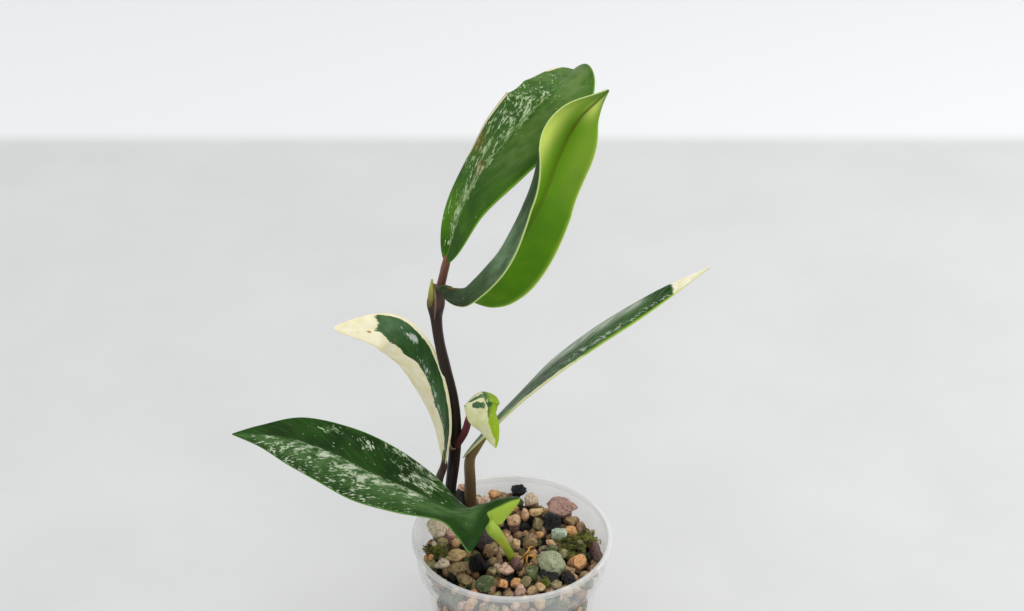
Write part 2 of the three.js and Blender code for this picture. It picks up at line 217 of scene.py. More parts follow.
# Each stalk runs through its points, with a radius at each of them.
STALKS = {
    "main_stem": dict(
        path=[
            (-26, 18.5, 54), (-28, 20, 72), (-28, 20, 88), (-26, 19, 108), (-25, 18, 125),
            (-26, 17, 142), (-29, 15, 160), (-31.5, 13, 176), (-32.5, 12, 188),
            (-32.5, 11, 197), (-31.5, 10, 205),
        ],
        radius=[2.5, 2.5, 2.5, 2.7, 2.6, 2.5, 2.5, 2.3, 2.6, 3.9, 2.7],
    ),
    "lower_left_petiole": dict(
        path=[
            (1, -4, 52), (1, -5, 66), (-1, -9, 76),
            (-4.5, -14.5, 88), (-8.5, -18.5, 97.5), (-10, -18.5, 102),
        ],
        radius=[1.9, 1.9, 1.9, 2.2, 2.9, 1.8],
    ),
    "top_petiole": dict(
        path=[(-31, 10, 203), (-29, 8, 213), (-27.5, 5.5, 221), (-25, 10, 228)],
        radius=[1.9, 1.8, 1.7, 0.8],
    ),
    "curled_petiole": dict(
        path=[(-32.5, 11, 202), (-30.5, 8.5, 206), (-25.5, 2.5, 210)],
        radius=[1.8, 1.8, 0.6],
    ),
    "cream_petiole": dict(
        path=[(-30, 14, 56), (-33.5, 16, 80), (-33, 16, 97), (-30.5, 15, 107), (-30.3, 16, 115)],
        radius=[1.9, 1.9, 1.9, 1.6, 0.5],
    ),
    "right_petiole": dict(
        path=[
            (-17, 27, 54), (-19, 28, 72), (-19, 26, 90),
            (-19, 25, 103), (-16, 23, 111), (-9, 20.5, 124),
        ],
        radius=[3, 2.9, 2.6, 2.4, 1.9, 0.6],
    ),
    "small_petiole": dict(
        path=[(-25, 18, 116), (-21, 13, 127), (-19, 9, 137), (-16, 6, 149), (-13, 2, 156)],
        radius=[1.8, 1.7, 1.6, 1.4, 0.7],
    ),
    "stem_bud": dict(
        path=[(-34.5, 9, 197), (-34.4, 6.6, 204), (-33.8, 6.6, 211.5)],
        radius=[1.2, 1.2, 0.4],
    ),
}

# The stones that stand out of the grit: place, half width, half height and kind
STONES = [
    (3, 35, 77, 3.9, 2.8, "lump"),
    (8.5, 31, 74.5, 3.2, 3.4, "pale"),
    (6, 23, 72.5, 2.5, 3.6, "tan"),
    (0.5, 19.5, 72.5, 3.3, 2.9, "tan"),
    (22.5, 26.5, 74.5, 6.8, 3.7, "red"),
    (11, 25, 72.5, 3.4, 1.6, "tan"),
    (12, 17.5, 72, 2.5, 3.6, "olive"),
    (18, 17, 72.5, 4.1, 4.4, "black"),
    (20.5, 9, 72.5, 4.0, 3.2, "mint"),
    (27, 11, 72, 3.2, 3.5, "orange"),
    (27.5, 20, 72, 3.1, 2.3, "brown"),
    (31.5, 15.5, 71.5, 2.5, 3.0, "brown"),
    (35.5, 10, 71.5, 2.2, 2.0, "olive"),
    (38, -3, 71.5, 2.6, 4.7, "mauve"),
    (32.5, 9.5, 70.5, 1.4, 1.6, "pale"),
    (12.5, 9.5, 71, 1.6, 1.9, "orange"),
    (8, 6, 71, 3.6, 3.3, "brown"),
    (2, 3.5, 71, 2.2, 2.5, "tan"),
    (17.5, 4.5, 71, 2.7, 1.4, "tan"),
    (18, 0.5, 70.5, 2.3, 1.6, "moss_green"),
    (30.5, 3, 70.5, 2.4, 2.4, "olive"),
    (18.5, -11, 71.5, 6.5, 4.7, "green"),
    (9, -16.5, 70.5, 3.4, 3.4, "moss_green"),
    (8.5, -10.5, 70, 1.4, 1.4, "orange"),
    (2, -7, 70.5, 2.4, 2.7, "brown"),
    (2.2, -11.5, 71.5, 2.2, 3.2, "mauve"),
    (29, -8.5, 70.5, 3.8, 4.2, "orange"),
    (23.5, -3, 70.5, 2.3, 1.9, "olive"),
    (25.5, -14.5, 70.5, 2.3, 1.9, "brown"),
    (18, -19, 70, 5.7, 2.4, "black"),
    (25.5, -20, 70.5, 3.2, 2.3, "black"),
    (19.5, -25, 70.5, 2.7, 1.9, "olive"),
    (12.5, -26, 70.5, 2.3, 1.9, "tan"),
    (6.5, -22.5, 70.5, 2.3, 2.3, "olive"),
    (2, -23, 70.5, 2.1, 2.7, "orange"),
    (-4, -24, 70.5, 2.0, 2.5, "orange"),
    (-2.5, -16, 72, 3.4, 3.6, "pink"),
    (-6, -13.5, 71, 2.2, 2.8, "pink"),
    (-8.5, -15.5, 70.5, 2.3, 3.2, "olive"),
    (-9, -0.5, 70.5, 3.4, 3.8, "brown"),
    (-11.5, -24, 70.5, 4.1, 3.0, "moss_green"),
    (-20, -21, 70.5, 4.1, 2.0, "brown"),
    (-16, -10.5, 70.5, 3.8, 4.9, "lump"),
    (-23.5, -12.5, 70.5, 4.1, 3.3, "brown"),
    (-25.5, -3.5, 70.5, 4.5, 2.6, "tan"),
    (-31.5, -10.5, 70.5, 3.4, 2.2, "pale"),
    (-36.5, -5, 70, 1.4, 1.5, "orange"),
    (-31.5, 4.5, 71, 2.2, 2.2, "olive"),
    (-33.5, 12, 73.5, 4.7, 4.0, "cream"),
    (-35, 4, 70.5, 1.3, 1.7, "cream"),
    (-25, 4.5, 71.5, 2.2, 2.5, "tan"),
    (-12.5, 4.5, 72.5, 3.6, 4.6, "smooth"),
    (-2.5, 8, 71, 1.5, 1.7, "tan"),
    (-12.5, 30, 75.5, 2.8, 2.4, "pink"),
    (-8.5, 35, 75, 2.8, 2.1, "orange"),
    (-4.5, 34.5, 74.5, 2.3, 1.9, "brown"),
    (-23, 32, 81, 2.0, 1.6, "pink"),
    (-23, 30, 77, 3.6, 4.2, "black"),
    (-15.5, 29.5, 75.5, 1.7, 2.0, "pink"),
]

# Each kind of stone: its piece, its colour, how rough it is and how many chips cut it
STONE_KINDS = {
    "tan": ("pumice_stones", "#dcb488", 0.09, 11),
    "pale": ("pumice_stones", "#ecd6b8", 0.07, 10),
    "cream": ("pumice_stones", "#eadcbc", 0.04, 6),
    "orange": ("pumice_stones", "#dca470", 0.08, 11),
    "pink": ("pumice_stones", "#ecc8ac", 0.09, 12),
    "brown": ("pumice_stones", "#a08464", 0.09, 10),
    "olive": ("pumice_stones", "#988e66", 0.07, 9),
    "red": ("lava_stones", "#c09c8e", 0.09, 10),
    "mauve": ("lava_stones", "#7c6058", 0.05, 9),
    "black": ("lava_stones", "#262828", 0.07, 10),
    "lump": ("lava_stones", "#1a1c1e", 0.2, 4),
    "smooth": ("lava_stones", "#4c4444", 0.01, 3),
    "mint": ("green_stones", "#a8b8a2", 0.05, 9),
    "green": ("green_stones", "#989c78", 0.05, 9),
    "moss_green": ("green_stones", "#5c6840", 0.04, 8),
}
FILL_KINDS = [
    "tan", "brown", "olive", "orange", "black", "brown", "tan", "pink", "black",
    "moss_green", "olive", "mauve", "brown",
]


# Curves and surfaces


def curve_value(values, t):
    """An even Catmull-Rom curve through the values, t from 0 to 1."""
    values = np.asarray(values, float)
    last = len(values) - 1
    padded = np.concatenate(
        [[2 * values[0] - values[1]], values, [2 * values[-1] - values[-2]]]
    )
    place = np.clip(t, 0, 1) * last
    i = np.minimum(np.floor(place).astype(int), last - 1)
    f = place - i
    if values.ndim > 1:
        f = f[..., None]
    a, b, c, d = (padded[i + k] for k in range(4))
    square = (2 * a - 5 * b + 4 * c - d) * f**2
    cube = (3 * b - a - 3 * c + d) * f**3
    return 0.5 * (2 * b + (c - a) * f + square + cube)


def unit(vectors):
    """Each vector over its own length."""
    return vectors / np.linalg.norm(vectors, axis=-1, keepdims=True)


def smooth(low, high, value):
    """0 below low, 1 above high, and an even S between them."""
    share = np.clip((value - low) / (high - low), 0, 1)
    return share * share * (3 - 2 * share)


def hill(centre, spread, value):
    """A bell: e to minus the square of how many spreads the value is from the centre."""
    return np.exp(-(((value - centre) / spread) ** 2))


def directions_along(points, t):
    """The curve's unit direction, from a small step behind t to one ahead of it."""
    step = 1e-3
    ahead = curve_value(points, np.minimum(t + step, 1))
    behind = curve_value(points, np.maximum(t - step, 0))
    return unit(ahead - behind)


def circle(sides):
    """Points (x, y) evenly round a circle of radius 1."""
    angle = np.linspace(0, 2 * np.pi, sides, endpoint=False)
    return np.stack([np.cos(angle), np.sin(angle)], -1)


def outline_share(t, base, tip):
    """The half-width as a share of its widest: t to the power base times 1 - t to the power tip."""
    widest = base / (base + tip)
    return t**base * (1 - t) ** tip / (widest**base * (1 - widest) ** tip)


def spread_middle(leaf, t, s):
    """The middle surface of a blade that is spread between its midrib and its two margins.

    Each point lies on the straight line from the midrib to the margin, raised at right angles
    to the blade by four times the bow, times the share across, times what is left of it.
    """
    centre = curve_value(leaf["spine"], t)
    margins = {side: curve_value(leaf[side]["margin"], t) for side in ("left", "right")}
    forward = directions_along(leaf["spine"], t)
    up = unit(np.cross(margins["right"] - margins["left"], forward))
    points = np.empty((len(t), len(s), 3))
    distance = np.empty((len(t), len(s)))
    for side, chosen in (("left", s < 0), ("right", s >= 0)):
        to_margin = margins[side] - centre
        x = np.abs(s[chosen])[None, :]
        rise = 4 * curve_value(leaf[side]["bow"], t)[:, None] * x * (1 - x)
        points[:, chosen] = (
            centre[:, None] + x[..., None] * to_margin[:, None] + rise[..., None] * up[:, None]
        )
        distance[:, chosen] = x * np.linalg.norm(to_margin, axis=1)[:, None]
    return points, distance


def blade_middle(leaf, t, s):
    """The blade's middle surface on the grid of t, base to tip, and s, left to right margin.

    Each side is an arc that leaves the midrib at its fold and bends by its curl, as wide as
    the outline there. Returns the points and the distance across, all in millimetres.
    """
    if "margin" in leaf["left"]:
        return spread_middle(leaf, t, s)
    centre = curve_value(leaf["spine"], t)
    forward = directions_along(leaf["spine"], t)
    flat_right = unit(np.cross(forward, leaf["facing"]))
    flat_up = np.cross(flat_right, forward)
    tilt = np.radians(curve_value(leaf["tilt"], t))[:, None]
    right = np.cos(tilt) * flat_right + np.sin(tilt) * flat_up
    up = np.cos(tilt) * flat_up - np.sin(tilt) * flat_right
    points = np.empty((len(t), len(s), 3))
    distance = np.empty((len(t), len(s)))
    for side, chosen in (("left", s < 0), ("right", s >= 0)):
        form = leaf[side]
        fold = np.radians(curve_value(form["fold"], t))[:, None]
        curl = np.radians(curve_value(form.get("curl", NO_CURL), t))[:, None]
        curl = np.where(np.abs(curl) < 1e-4, 1e-4, curl)
        half = (form["half"] * outline_share(t, form["base"], leaf["tip"]))[:, None]
        x = np.abs(s[chosen])[None, :]
        across = (np.sin(fold + curl * x) - np.sin(fold)) / curl * half
        rise = (np.cos(fold) - np.cos(fold + curl * x)) / curl * half
        across = across * (1 if side == "right" else -1)
        points[:, chosen] = (
            centre[:, None]
            + across[..., None] * right[:, None]
            + rise[..., None] * up[:, None]
        )
        distance[:, chosen] = x * half
    return points, distance


def grid_normals(points):
    """The unit cross product of the steps across and along a grid of points."""
    along = np.gradient(points, axis=0)
    across = np.gradient(points, axis=1)
    return unit(np.cross(across, along))


def sleeve(rings):
    """Vertices and faces of rings of points joined one to the next, with both ends capped."""
    rows, size = rings.shape[:2]
    i = (np.arange(rows - 1) * size)[:, None]
    j = np.arange(size)
    k = (j + 1) % size
    quads = np.stack([i + j, i + k, i + size + k, i + size + j], -1).reshape(-1, 4)
    faces = quads.tolist()
    faces.append(j[::-1].tolist())
    faces.append((j + (rows - 1) * size).tolist())
    return rings.reshape(-1, 3), faces


class Bunch:
    """Several closed surfaces gathered into one mesh, with their values at each vertex."""

    def __init__(self):
        self.vertices = []
        self.faces = []
        self.values = {}
        self.count = 0

    def add(self, rings, **values):
        """Takes in one closed surface; a value is given for the whole of it or for each vertex."""
        vertices, faces = sleeve(rings)
        self.faces.extend([[v + self.count for v in face] for face in faces])
        self.vertices.append(vertices)
        self.count += len(vertices)
        for name, value in values.items():
            value = np.asarray(value, float)
            if value.ndim < 2:
                value = np.broadcast_to(value, (len(vertices),) + value.shape)
            else:
                value = value.reshape((len(vertices),) + value.shape[2:])
            self.values.setdefault(name, []).append(value)

    def mesh(self, name):
        """The gathered surfaces as one mesh, in metres."""
        mesh = bpy.data.meshes.new(name)
        mesh.from_pydata(np.concatenate(self.vertices) * MM, [], self.faces)
        return mesh

    def piece(self, name, finish, slot, node=None):
        """The finished piece, which rides with the plant and may stand for a CAD node."""
        mesh = self.mesh(name)
        for key, parts in self.values.items():
            value = np.concatenate(parts)
            kind, field = ("FLOAT", "value") if value.ndim == 1 else ("FLOAT_VECTOR", "vector")
            layer = mesh.attributes.new(key, kind, "POINT")
            layer.data.foreach_set(field, value.astype(np.float32).ravel())
        mesh.shade_smooth()
        mesh.materials.append(finish)
        made = placed(name, mesh)
        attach(made, "root")
        if node:
            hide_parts(node)
        return made


def placed(name, data):
    """A new object of the data, linked to the scene."""
    made = bpy.data.objects.new(name, data)
    bpy.context.scene.collection.objects.link(made)
    return made


def blade_rings(leaf):
    """The closed blade: the upper face from left to right margin, then the lower one back.

    The two faces stand apart by a thickness that rounds off at the margin. The upper face
    has a shallow groove along the midrib and soft swells between the side veins, and the
    lower face has the midrib as a ridge.
    """
    t = FIRST_ROW + (LAST_ROW - FIRST_ROW) * np.linspace(0, 1, BLADE_ROWS)
    s = np.sin(np.linspace(-1, 1, BLADE_COLUMNS) * np.pi / 2)
    middle, distance = blade_middle(leaf, t, s)
    normals = grid_normals(middle)
    steps = np.linalg.norm(np.diff(curve_value(leaf["spine"], t), axis=0), axis=1)
    run = np.concatenate([[0], np.cumsum(steps)])[:, None] + 0 * distance
    slant = math.radians(VEIN_SLANT)
    along = run * math.cos(slant) + distance * math.sin(slant)
    aside = distance * math.cos(slant) - run * math.sin(slant)
    narrow = np.minimum(1, outline_share(t, 0.5, 0.5) * 1.5)[:, None]
    half = 0.5 * BLADE_THICKNESS * np.sqrt(1 - np.abs(s) ** MARGIN_POWER) * (0.4 + 0.6 * narrow)
    rib = hill(0, RIB_SPREAD, distance) * narrow
    swell = SWELL_HEIGHT * np.sin(2 * np.pi * aside / SWELL_LENGTH) * (1 - s**4) * narrow
    upper = middle + normals * (half - GROOVE_DEPTH * rib + swell)[..., None]
    lower = middle - normals * (half + RIB_HEIGHT * rib - swell)[..., None]
    rings = np.concatenate([upper, lower[:, -2:0:-1]], axis=1)

    def around(value):
        return np.concatenate([value, value[:, -2:0:-1]], axis=1)

    sign = np.sign(s)[None, :] + 0 * distance
    top = np.concatenate([np.ones_like(distance), np.zeros_like(distance[:, -2:0:-1])], axis=1)
    grain = around(np.stack([along * MM, aside * MM, sign * 0.05], -1))
    t_grid = around(t[:, None] + 0 * distance)
    s_grid = around(s[None, :] + 0 * distance)
    rib_line = hill(0, RIB_LINE, around(distance))
    return rings, t_grid, s_grid, dict(grain=grain, top=top, rib=rib_line)


def stalk_rings(stalk, sides=28, steps=120, ridges=0.0):
    """A circle carried along the path and turned square to it, with faint ridges round it."""
    t = np.linspace(0, 1, steps)
    centre = curve_value(stalk["path"], t)
    forward = directions_along(stalk["path"], t)
    side = unit(np.cross(np.array([0, 1, 0.0]), forward))
    other = np.cross(forward, side)
    radius = curve_value(stalk["radius"], t)[:, None]
    angle = np.linspace(0, 2 * np.pi, sides, endpoint=False)[None, :]
    rough = np.sin(5 * angle + 9 * t[:, None]) + np.sin(9 * angle - 17 * t[:, None])
    reach = radius * (1 + ridges * rough)
    spokes = np.cos(angle)[..., None] * side[:, None] + np.sin(angle)[..., None] * other[:, None]
    rings = centre[:, None] + reach[..., None] * spokes
    run = t[:, None] + 0 * angle
    turn = np.stack([np.cos(angle) + 0 * run, np.sin(angle) + 0 * run, run], -1)
    return rings, run, turn


def lathe_rings(profile, sides):
    """A profile of (radius, height) points turned once round the upright axis."""
    profile = np.asarray(profile, float)
    flat = profile[:, 0, None, None] * circle(sides)
    height = np.broadcast_to(profile[:, 1, None, None], flat.shape[:2] + (1,))
    return np.concatenate([flat, height], -1)


def rounded(profile, radius):
    """The profile with each corner cut back by radius at most and bridged by a small bend."""
    points = np.asarray(profile, float)
    result = [points[0]]
    for before, corner, after in zip(points, points[1:], points[2:]):
        to_before, to_after = before - corner, after - corner
        cut = min(radius, 0.45 * np.linalg.norm(to_before), 0.45 * np.linalg.norm(to_after))
        start = corner + unit(to_before) * cut
        end = corner + unit(to_after) * cut
        for f in np.linspace(0, 1, 5):
            result.append((1 - f) ** 2 * start + 2 * f * (1 - f) * corner + f * f * end)
    result.append(points[-1])
    return result


def stone_rings(centre, sizes, draw, chips, rough, grid):
    """A ball cut by flat chips, softened where they meet, roughened and stretched to size.

    Its reach along a direction is one over a high root of one plus the sum of each
    chip's pressure to the same power, and small waves are added to it.
    """
    rows, sides = grid
    polar = np.linspace(0.12, np.pi - 0.12, rows)[:, None]
    round_angle = np.linspace(0, 2 * np.pi, sides, endpoint=False)[None, :]
    ball = np.stack(
        [
            np.sin(polar) * np.cos(round_angle),
            np.sin(polar) * np.sin(round_angle),
            np.cos(polar) + 0 * round_angle,
        ],
        -1,
    )
    faces = unit(draw.normal(size=(chips, 3)))
    depth = draw.uniform(0.5, 0.9, chips)
    press = np.maximum(ball @ faces.T, 0) / depth
    reach = (1 + (press**CHIP_SHARPNESS).sum(-1)) ** (-1 / CHIP_SHARPNESS)
    for size in (3, 7, 15):
        waves = draw.normal(size=(5, 3)) * size
        phase = draw.uniform(0, 2 * np.pi, 5)
        reach = reach + rough * 3.5 / size**0.5 * np.sin(ball @ waves.T + phase).mean(-1)
    points = ball * (reach / reach.max())[..., None] * 1.06 * sizes
    x, y, z = points[..., 0], points[..., 1], points[..., 2]
    tip = draw.uniform(-0.35, 0.35)
    x, z = x * math.cos(tip) - z * math.sin(tip), x * math.sin(tip) + z * math.cos(tip)
    swing = draw.uniform(-0.5, 0.5)
    x, y = x * math.cos(swing) - y * math.sin(swing), x * math.sin(swing) + y * math.cos(swing)
    return np.stack([x, y, z], -1) + np.asarray(centre, float)


# Materials


def tone(code):
    """A colour from its hexadecimal code, as the shader's linear red, green, blue, alpha."""
    values = [int(code[i : i + 2], 16) / 255 for i in (1, 3, 5)]
    linear = [v / 12.92 if v <= 0.04045 else ((v + 0.055) / 1.055) ** 2.4 for v in values]
    return (*linear, 1.0)


class Finish:
    """A material whose recipe is written as steps, each giving the socket for the next."""

    def __init__(self, name, **sockets):
        self.material = bpy.data.materials.new(name)
        self.material.use_nodes = True
        self.tree = self.material.node_tree
        self.skin = self.tree.nodes["Principled BSDF"]
        for socket, value in sockets.items():
            socket = socket.replace("_", " ").title().replace("Ior", "IOR")
            self.skin.inputs[socket].default_value = value

    def node(self, kind, inputs=(), **settings):
        """A new step of the recipe with its settings, its inputs linked or set."""
        made = self.tree.nodes.new(kind)
        for key, value in settings.items():
            setattr(made, key, value)
        for socket, value in dict(inputs).items():
            self.feed(value, made.inputs[socket])
        return made

    def feed(self, value, socket):
        """Links a socket, or sets a plain value or the colour of a hexadecimal code."""
        if isinstance(value, str):
            value = tone(value)
        if isinstance(value, bpy.types.NodeSocket):
            self.tree.links.new(value, socket)
        else:
            socket.default_value = value

    def own(self, name, field="Fac"):
        """The piece's own value of that name at each point."""
        return self.node("ShaderNodeAttribute", attribute_name=name).outputs[field]

    def place(self):
        return self.node("ShaderNodeTexCoord").outputs["Object"]

    def axis(self, letter):
        """How far the point is along one axis of the frame, in metres."""
        return self.node("ShaderNodeSeparateXYZ", {0: self.place()}).outputs[letter]

    def stretched(self, where, scales):
        inputs = {0: where, 1: scales}
        return self.node("ShaderNodeVectorMath", inputs, operation="MULTIPLY").outputs[0]

    def noise(self, where, scale, detail=3.0, roughness=0.55):
        inputs = {"Vector": where, "Scale": scale, "Detail": detail, "Roughness": roughness}
        return self.node("ShaderNodeTexNoise", inputs).outputs["Fac"]

    def cells(self, where, scale):
        inputs = {"Vector": where, "Scale": scale}
        return self.node("ShaderNodeTexVoronoi", inputs).outputs["Distance"]

    def step(self, value, low, high, start=0.0, end=1.0):
        """start below low, end above high, and an even S between them."""
        inputs = {"Value": value, "From Min": low, "From Max": high, "To Min": start, "To Max": end}
        made = self.node("ShaderNodeMapRange", inputs, interpolation_type="SMOOTHSTEP")
        return made.outputs["Result"]

    def calc(self, operation, first, second=0.0):
        made = self.node("ShaderNodeMath", {0: first, 1: second}, operation=operation)
        return made.outputs[0]

    def blend(self, share, first, second):
        """first where share is 0 and second where it is 1."""
        made = self.node("ShaderNodeMix", {0: share, 6: first, 7: second}, data_type="RGBA")
        return made.outputs[2]

    def bump(self, height, depth, strength=1.0):
        inputs = {"Height": height, "Distance": depth, "Strength": strength}
        self.feed(self.node("ShaderNodeBump", inputs).outputs[0], self.skin.inputs["Normal"])

    def colour(self, value):
        self.feed(value, self.skin.inputs["Base Color"])

    def roughness(self, value):
        self.feed(value, self.skin.inputs["Roughness"])


def leaf_finish(name, tones):
    """Waxy leaf skin: two greens, silver flecks, cream and lime zones, a silver bloom that is partly
    painted sheen, a painted glow on the lower face and a rib line.
    """
    f = Finish(
        name,
        specular_ior_level=0.12,
        subsurface_weight=tones["glow"],
        subsurface_radius=(0.5, 1.0, 0.2),
        subsurface_scale=0.0015,
    )
    grain = f.own("grain", "Vector")
    place = f.place()
    broad = f.noise(place, 60, 2.0)
    green = f.blend(f.step(broad, 0.35, 0.65), tones["deep"], tones["mid"])
    # Side veins streaked towards the silver bloom tone: partly painted sheen along the veins.
    veins = f.noise(f.stretched(grain, (90, 900, 40)), 1.0, 3.0)
    streaks = f.calc("MULTIPLY", f.own("veined"), f.step(veins, 0.45, 0.7, 0.0, 0.22))
    green = f.blend(streaks, green, tones["bloom_and_sheen"])
    # Painted sheen: the silver bloom tone clouded over the green where the bloom mark lies.
    cloud = f.noise(f.stretched(grain, (120, 260, 40)), 1.0, 3.0)
    haze = f.calc("MULTIPLY", f.own("bloom_and_sheen"), f.step(cloud, 0.3, 0.7, 0.5, 1.4))
    green = f.blend(haze, green, tones["bloom_and_sheen"])
    lime = f.calc("ADD", f.own("lime"), f.calc("MULTIPLY", f.calc("SUBTRACT", broad, 0.5), 0.5))
    green = f.blend(f.step(lime, 0.2, 0.8), green, tones["lime"])
    dashes = f.noise(f.stretched(grain, (420, 1200, 40)), 1.0, 2.0, 0.6)
    blots = f.noise(f.stretched(grain, (160, 330, 40)), 1.0, 3.0, 0.6)
    drawn = f.calc("ADD", f.calc("MULTIPLY", dashes, 0.6), f.calc("MULTIPLY", blots, 0.4))
    drawn = f.calc("ADD", drawn, f.calc("MULTIPLY", f.own("fleck"), 0.2))
    fleck = f.step(drawn, 0.64, 0.68)
    silver = f.blend(f.step(blots, 0.4, 0.65), tones["bloom_and_sheen"], tones["fleck"])
    green = f.blend(f.calc("MULTIPLY", fleck, 0.9), green, silver)
    green = f.blend(f.calc("MULTIPLY", f.own("patch"), 0.85), green, tones["fleck"])
    ragged = f.noise(f.stretched(grain, (120, 300, 40)), 1.0, 4.0)
    ragged = f.calc("MULTIPLY", f.calc("SUBTRACT", ragged, 0.5), tones["ragged"])
    edge = f.calc("ADD", f.own("cream"), ragged)
    cream = f.step(edge, -0.02, 0.03)
    mottle = f.noise(place, 220, 3.0)
    pale = f.blend(f.step(mottle, 0.35, 0.75), tones["cream"], tones["butter"])
    upper = f.blend(cream, green, pale)
    rib = f.calc("MULTIPLY", f.own("rib"), f.step(edge, 0.03, -0.02, 0.0, 0.35))
    upper = f.blend(rib, upper, tones["rib"])
    soft = f.noise(place, 45, 2.0)
    lower = f.blend(f.step(soft, 0.35, 0.65), tones["back"], tones["back_light"])
    # Painted glow: a yellower tone on the lower face, standing for light shining through it.
    lower = f.blend(f.own("glow"), lower, tones["back_painted_glow"])
    lower = f.blend(cream, lower, tones["butter"])
    lower = f.blend(f.own("rib"), lower, tones["back_rib"])
    skin = f.blend(f.own("top"), lower, upper)
    skin = f.blend(f.own("speck"), skin, SPECK_TONE)
    f.colour(f.blend(f.own("line"), skin, tones["line"]))
    gloss = f.noise(place, 300, 3.0)
    f.roughness(f.step(gloss, 0.3, 0.7, tones["gloss"], tones["gloss"] + 0.12))
    veins = f.calc("MULTIPLY", f.own("veined"), f.calc("MULTIPLY", veins, 0.6))
    relief = f.calc("ADD", veins, f.calc("MULTIPLY", fleck, 0.2))
    f.bump(relief, 0.0004, 0.35)
    return f.material


# Marks of each leaf at t, base to tip, and s, left to right margin. Each is a share from 0 to 1:
# fleck (silver dashes), bloom_and_sheen (silver bloom, partly painted sheen), lime, patch (a silver
# blot), speck (rust brown), glow (painted light through the lower face), rib (how clear the midrib
# is) and veined (side veins).
# cream is above 0 where the blade is cream.
PLAIN_MARKS = dict(fleck=0, bloom_and_sheen=0, lime=0, cream=-1, glow=0, patch=0, speck=0, rib=1, veined=1)


def spots(rows, t, s):
    """The sum of soft spots, each given as strength, t, its length, s and its width."""
    return sum(
        strength * hill(place, length, t) * hill(aside, width, s)
        for strength, place, length, aside, width in rows
    )


def lobe_share(t):
    """The share along the plain part of the lobed blade, which starts past its saddle."""
    return np.interp(t, [0, 3 / 9, 8 / 9, 1], [0, 0.3, 0.89, 1])


def marks_lower_left(t, s):
    along = lobe_share(t)
    near = smooth(0.03, -0.03, s)
    dense = [(0.35, 0.53, 0.05, -0.32, 0.12), (-0.35, 0.45, 0.06, -0.6, 0.3)]
    fleck = 0.55 + 0.45 * hill(-0.08, 0.22, s) + spots(dense, along, s)
    fleck = near * smooth(0.34, 0.42, along) * fleck * smooth(1.0, 0.85, along)
    groups = [
        (0.9, 0.7, 0.04, 0.68, 0.16), (0.9, 0.6, 0.03, 0.62, 0.18), (0.9, 0.53, 0.035, 0.88, 0.18),
    ]
    far = spots(groups, along, s) + 0.85 * hill(0.42, 0.08, along) * smooth(0.02, 0.2, s)
    fleck = fleck + (1 - near) * np.minimum(far, 1.0)
    # The silver bloom here is mostly painted sheen, on the near half and over the saddle.
    bloom_and_sheen = 0.65 * near * smooth(0.26, 0.34, along) * hill(-0.4, 0.4, s)
    bloom_and_sheen = bloom_and_sheen + 0.3 * hill(0.34, 0.06, along) * hill(-0.4, 0.4, s)
    saddle = 0.7 * smooth(0.36, 0.3, t) * smooth(0.13, 0.2, t)
    bloom_and_sheen = bloom_and_sheen + saddle * smooth(-0.8, -0.3, s) * smooth(0.9, 0.3, s)
    lime = smooth(0.12, 0.09, t) * smooth(-0.12, -0.04, s)
    lime = lime + smooth(0.06, 0.03, t) * smooth(0.0, -0.1, s)
    veined = smooth(0.3, 0.42, t)
    return dict(fleck=fleck, bloom_and_sheen=bloom_and_sheen, lime=np.minimum(lime, 1.2), veined=veined)


def marks_top(t, s):
    left = smooth(0.14, 0.04, s)
    spread = 0.3 + 0.25 * hill(0.5, 0.25, t) + 0.35 * hill(-0.02, 0.12, s) * smooth(0.75, 0.65, t)
    groups = [
        (0.4, 0.34, 0.05, -0.4, 0.15), (0.4, 0.62, 0.08, -0.5, 0.3), (0.45, 0.17, 0.1, -0.15, 0.25),
    ]
    fleck = left * (spread + spots(groups, t, s))
    # Silver bloom on the right half and by the tip, partly painted sheen.
    bloom_and_sheen = (1 - left) * 0.6 * smooth(1.0, 0.5, s) * smooth(0.2, 0.45, t)
    bloom_and_sheen = bloom_and_sheen + 0.45 * smooth(0.7, 0.9, t)
    lime = left * 0.4 * smooth(0.4, 0.1, t) + 0.6 * smooth(0.88, 0.98, s) * smooth(0.75, 0.5, t)
    notch = smooth(-0.7, -0.9, s) * hill(0.95, 0.035, t) - 0.5
    margin = smooth(-0.86, -0.96, s) * smooth(0.22, 0.32, t) * smooth(0.68, 0.58, t) - 0.5
    speck = spots([(0.35, 0.34, 0.03, -0.8, 0.2), (0.35, 0.3, 0.02, -0.2, 0.15)], t, s)
    cream = np.maximum(notch, margin)
    return dict(fleck=fleck, bloom_and_sheen=bloom_and_sheen, lime=lime, cream=cream, speck=speck)


def marks_curled(t, s):
    # Silver bloom across the upper band, partly painted sheen.
    bloom_and_sheen = 0.05 + 0.85 * hill(0.44, 0.11, t)
    # The glow mark is painted light: light through the lower face, painted as a yellower tone.
    glow = smooth(0.05, 0.7, s) * hill(0.76, 0.13, t)
    glow = glow + 0.8 * hill(0.92, 0.05, t) * hill(-0.3, 0.4, s)
    glow = glow + 0.15 * smooth(0.0, -0.6, s) * hill(0.75, 0.15, t)
    glow = glow + 0.3 * smooth(-0.85, -1.0, s)
    speck = 0.5 * hill(0.07, 0.025, t) * hill(0.29, 0.1, s)
    return dict(bloom_and_sheen=bloom_and_sheen, glow=np.minimum(glow, 1), speck=speck, rib=smooth(0.42, 0.55, t))


# Where the cream ends on its blade, as (t, s)
CREAM_BORDER = [
    (0, 0.2), (0.15, 0.3), (0.25, 0.05), (0.3, -0.1), (0.43, 0.1), (0.53, 0.0),
    (0.61, -0.25), (0.74, -0.3), (0.81, -0.1), (1, 0),
]


